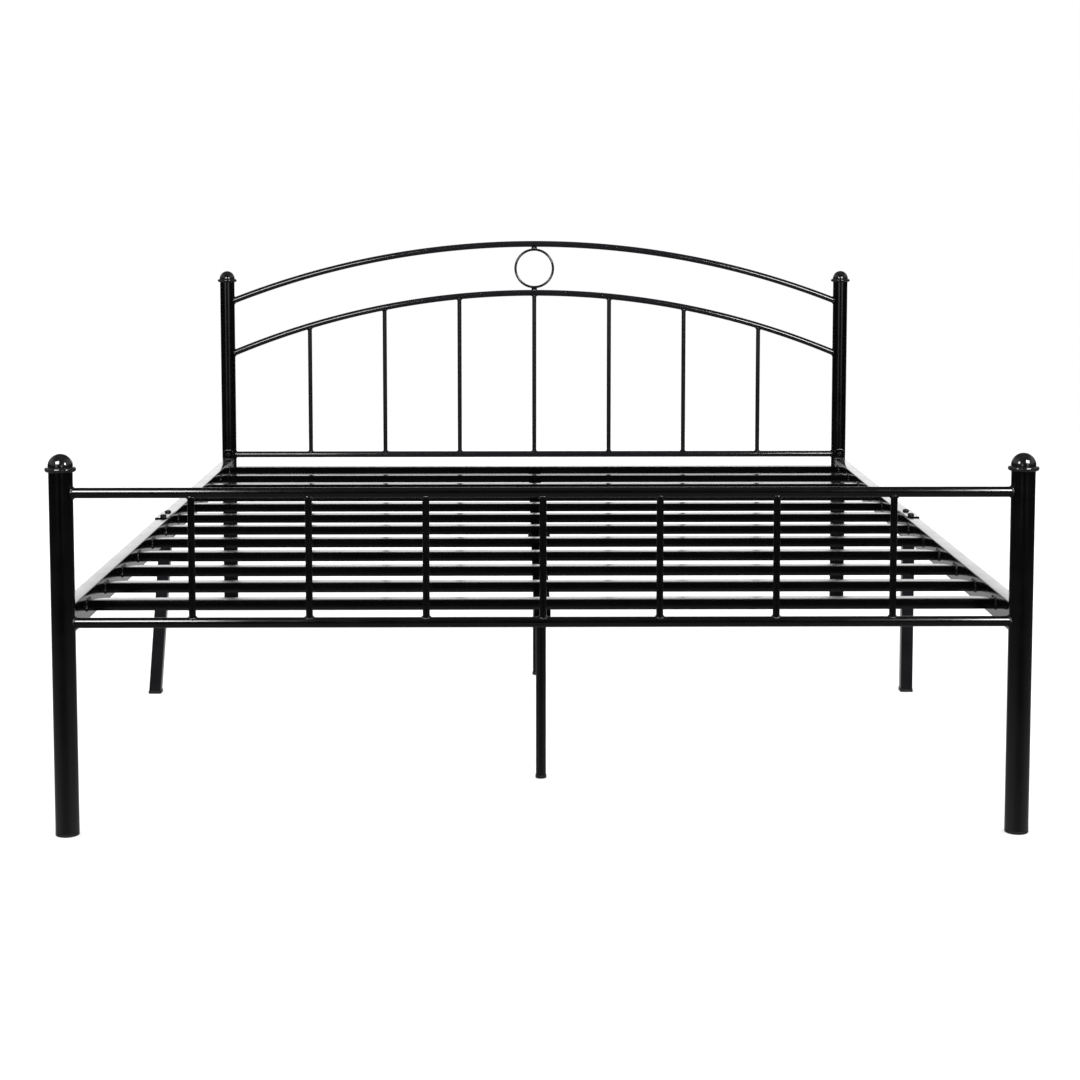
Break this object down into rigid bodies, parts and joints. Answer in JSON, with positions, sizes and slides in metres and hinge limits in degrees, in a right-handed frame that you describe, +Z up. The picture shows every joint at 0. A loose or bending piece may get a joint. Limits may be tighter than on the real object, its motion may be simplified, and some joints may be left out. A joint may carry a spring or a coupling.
{
  "type": "metal bed frame",
  "caption": "Black tubular steel bed frame with an arched headboard and centre ring, spindled footboard, bolted side rails in halves, welded slats, a centre beam and extra legs.",
  "frame": {"origin": "on the floor, at the middle of the frame's plan", "axes": "+X across the bed to the right seen from the foot, +Y from the footboard to the headboard, +Z up"},
  "size_m": [1.7085, 2.1015, 0.98],
  "materials": {
    "powder_coated_steel": "black semi-gloss powder coat",
    "moulded_cap": "black gloss moulded plastic",
    "moulded_foot": "black satin moulded plastic",
    "bolt_steel": "blackened steel"
  },
  "bodies": {
    "root": {"foot_post_left": "powder_coated_steel", "head_post_left": "powder_coated_steel", "foot_cap_left": "moulded_cap", "head_cap_left": "moulded_cap", "foot_post_right": "powder_coated_steel", "head_post_right": "powder_coated_steel", "foot_cap_right": "moulded_cap", "head_cap_right": "moulded_cap", "post_floor_plugs": "moulded_foot", "foot_upper_rail": "powder_coated_steel", "foot_lower_rail": "powder_coated_steel", "foot_spindle_1": "powder_coated_steel", "foot_spindle_2": "powder_coated_steel", "foot_spindle_3": "powder_coated_steel", "foot_spindle_4": "powder_coated_steel", "foot_spindle_5": "powder_coated_steel", "foot_spindle_6": "powder_coated_steel", "foot_spindle_7": "powder_coated_steel", "head_upper_arch": "powder_coated_steel", "head_lower_arch": "powder_coated_steel", "head_lower_rail": "powder_coated_steel", "head_spindle_1": "powder_coated_steel", "head_spindle_2": "powder_coated_steel", "head_spindle_3": "powder_coated_steel", "head_spindle_4": "powder_coated_steel", "head_spindle_5": "powder_coated_steel", "head_spindle_6": "powder_coated_steel", "head_spindle_7": "powder_coated_steel", "head_ring": "powder_coated_steel", "ring_weld_nubs": "powder_coated_steel", "side_rail_front_left": "powder_coated_steel", "side_rail_rear_left": "powder_coated_steel", "side_rail_front_right": "powder_coated_steel", "side_rail_rear_right": "powder_coated_steel", "slat_01": "powder_coated_steel", "slat_02": "powder_coated_steel", "slat_03": "powder_coated_steel", "slat_04": "powder_coated_steel", "slat_05": "powder_coated_steel", "slat_06": "powder_coated_steel", "slat_07": "powder_coated_steel", "slat_08": "powder_coated_steel", "slat_09": "powder_coated_steel", "slat_10": "powder_coated_steel", "slat_11": "powder_coated_steel", "slat_12": "powder_coated_steel", "centre_beam_front": "powder_coated_steel", "centre_beam_rear": "powder_coated_steel", "beam_joining_channel": "powder_coated_steel", "rail_end_plates": "powder_coated_steel", "joining_angle_left": "powder_coated_steel", "joining_angle_right": "powder_coated_steel", "side_leg_plates": "powder_coated_steel", "side_leg_left": "powder_coated_steel", "side_leg_right": "powder_coated_steel", "centre_leg_front": "powder_coated_steel", "centre_leg_rear": "powder_coated_steel", "leg_feet": "moulded_foot", "frame_bolts": "bolt_steel", "frame_nuts": "bolt_steel"}
  },
  "joints": []
}
